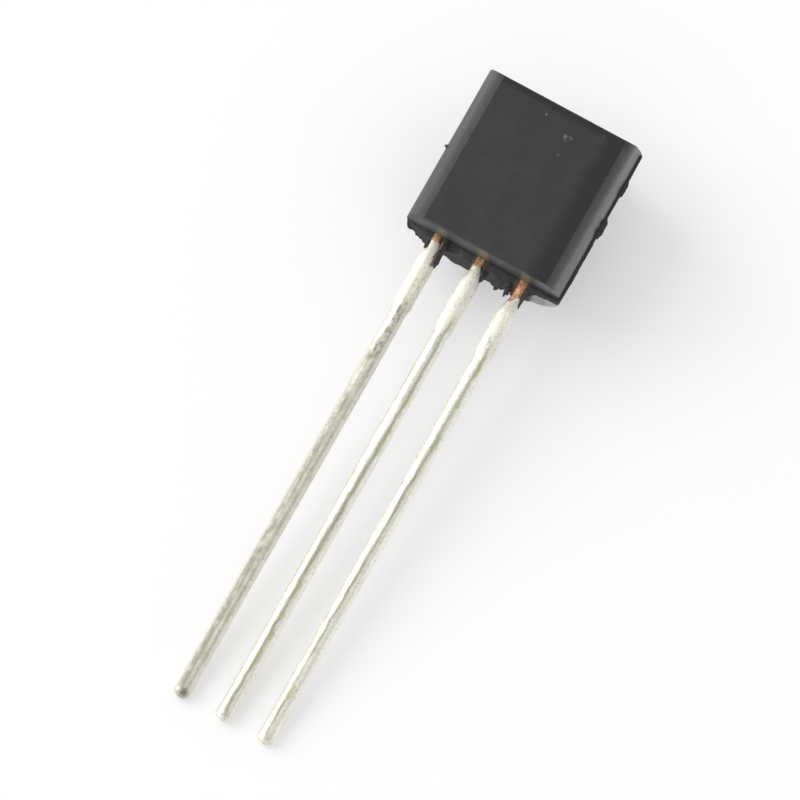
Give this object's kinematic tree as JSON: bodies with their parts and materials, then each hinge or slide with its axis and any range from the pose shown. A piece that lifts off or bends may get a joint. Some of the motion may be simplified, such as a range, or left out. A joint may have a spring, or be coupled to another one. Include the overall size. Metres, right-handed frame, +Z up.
{
  "type": "voltage reference chip",
  "caption": "Through-hole voltage reference in a black moulded D-shaped body with a flat front, round back and three long tinned leads in line.",
  "frame": {"origin": "middle of the footprint, on the surface that the chip lies on; the chip lies on its round back's lower edge and its three lead tips, flat face up", "axes": "+Y along the chip from the lead tips to the body's top end, +X across the leads from left to right as seen on the flat face, +Z up"},
  "size_m": [0.0049, 0.0188, 0.0043],
  "materials": {
    "moulding": "dull dark grey epoxy moulding compound",
    "tinned_copper": "hot-dipped tin, satin bright, copper bare under the body",
    "die_attach": "dull solder",
    "silicon": "polished silicon",
    "bond_wire": "bright gold wire"
  },
  "bodies": {
    "root": {"moulded_body": "moulding", "left_lead": "tinned_copper", "centre_lead": "tinned_copper", "right_lead": "tinned_copper", "die_attach": "die_attach", "silicon_die": "silicon", "left_bond_wire": "bond_wire", "right_bond_wire": "bond_wire", "ground_bond_wire": "bond_wire"}
  },
  "joints": []
}
